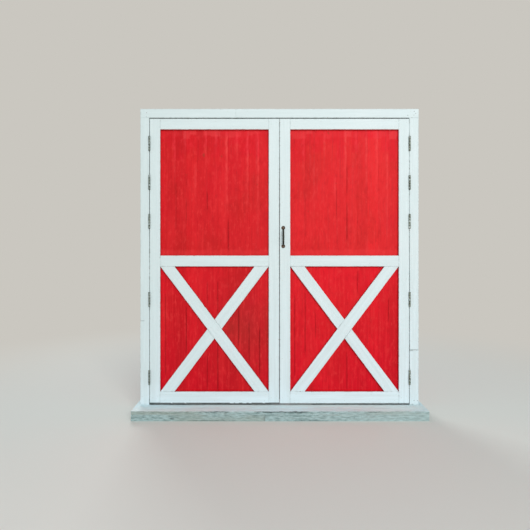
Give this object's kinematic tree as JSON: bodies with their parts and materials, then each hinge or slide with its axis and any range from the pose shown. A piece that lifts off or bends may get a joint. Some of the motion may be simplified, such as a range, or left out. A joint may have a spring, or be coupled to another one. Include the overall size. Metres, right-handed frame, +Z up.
{
  "type": "hinged double barn door",
  "caption": "Double barn door in its own frame: boarded leaves faced with rails, stiles and crossed braces, swinging outwards on butt hinges above a timber threshold.",
  "frame": {"origin": "middle of the threshold's underside, halfway along it and halfway through its depth", "axes": "+X to the right seen from outside, +Y into the building, +Z up"},
  "size_m": [2.046, 0.268, 2.18],
  "materials": {
    "white_paint": "planed softwood boards brushed with cool white paint",
    "frame_paint": "painted softwood framing behind the casings",
    "red_boards": "vertical softwood boards, brushed and worn barn red paint",
    "weathered_sill": "weathered grey-green softwood, chipped along its front edge",
    "hinge_steel": "dull grey-olive steel with stray white brush marks",
    "handle_iron": "dark forged iron worn to brown on the pads",
    "screw_steel": "dull countersunk wood screws"
  },
  "bodies": {
    "frame": {"threshold_tread": "weathered_sill", "sub_sill_left": "weathered_sill", "sub_sill_right": "weathered_sill", "left_jamb": "frame_paint", "right_jamb": "frame_paint", "head_jamb": "frame_paint", "left_stop": "frame_paint", "right_stop": "frame_paint", "head_stop": "frame_paint", "head_casing_left": "white_paint", "head_casing_right": "white_paint", "left_casing": "white_paint", "right_casing_lower": "white_paint", "right_casing_upper": "white_paint", "left_frame_hinge_plate_1": "hinge_steel", "left_frame_hinge_plate_2": "hinge_steel", "left_frame_hinge_plate_3": "hinge_steel", "left_frame_hinge_plate_4": "hinge_steel", "left_frame_hinge_plate_5": "hinge_steel", "left_hinge_pins": "hinge_steel", "right_frame_hinge_plate_1": "hinge_steel", "right_frame_hinge_plate_2": "hinge_steel", "right_frame_hinge_plate_3": "hinge_steel", "right_frame_hinge_plate_4": "hinge_steel", "right_frame_hinge_plate_5": "hinge_steel", "right_hinge_pins": "hinge_steel", "frame_hinge_screws": "screw_steel"},
    "left_leaf": {"left_hinge_stile": "white_paint", "left_meeting_stile": "white_paint", "left_top_rail": "white_paint", "left_middle_rail": "white_paint", "left_bottom_rail": "white_paint", "left_through_brace": "white_paint", "left_lower_half_brace": "white_paint", "left_upper_half_brace": "white_paint", "left_boards": "red_boards", "left_leaf_hinge_plate_1": "hinge_steel", "left_leaf_hinge_plate_2": "hinge_steel", "left_leaf_hinge_plate_3": "hinge_steel", "left_leaf_hinge_plate_4": "hinge_steel", "left_leaf_hinge_plate_5": "hinge_steel", "left_leaf_hinge_screws": "screw_steel"},
    "right_leaf": {"right_hinge_stile": "white_paint", "right_meeting_stile": "white_paint", "right_top_rail": "white_paint", "right_middle_rail": "white_paint", "right_bottom_rail": "white_paint", "right_through_brace": "white_paint", "right_lower_half_brace": "white_paint", "right_upper_half_brace": "white_paint", "right_boards": "red_boards", "right_leaf_hinge_plate_1": "hinge_steel", "right_leaf_hinge_plate_2": "hinge_steel", "right_leaf_hinge_plate_3": "hinge_steel", "right_leaf_hinge_plate_4": "hinge_steel", "right_leaf_hinge_plate_5": "hinge_steel", "right_leaf_hinge_screws": "screw_steel", "pull_handle": "handle_iron", "handle_screws": "screw_steel"}
  },
  "joints": [
    {"name": "left_leaf_swing", "type": "hinge", "parent": "frame", "child": "left_leaf", "pos_m": [-0.9275, -0.001, 0.078], "axis": [0, 0, -1], "range_deg": [0, 170]},
    {"name": "right_leaf_swing", "type": "hinge", "parent": "frame", "child": "right_leaf", "pos_m": [0.9275, -0.001, 0.078], "axis": [0, 0, 1], "range_deg": [0, 170]}
  ]
}
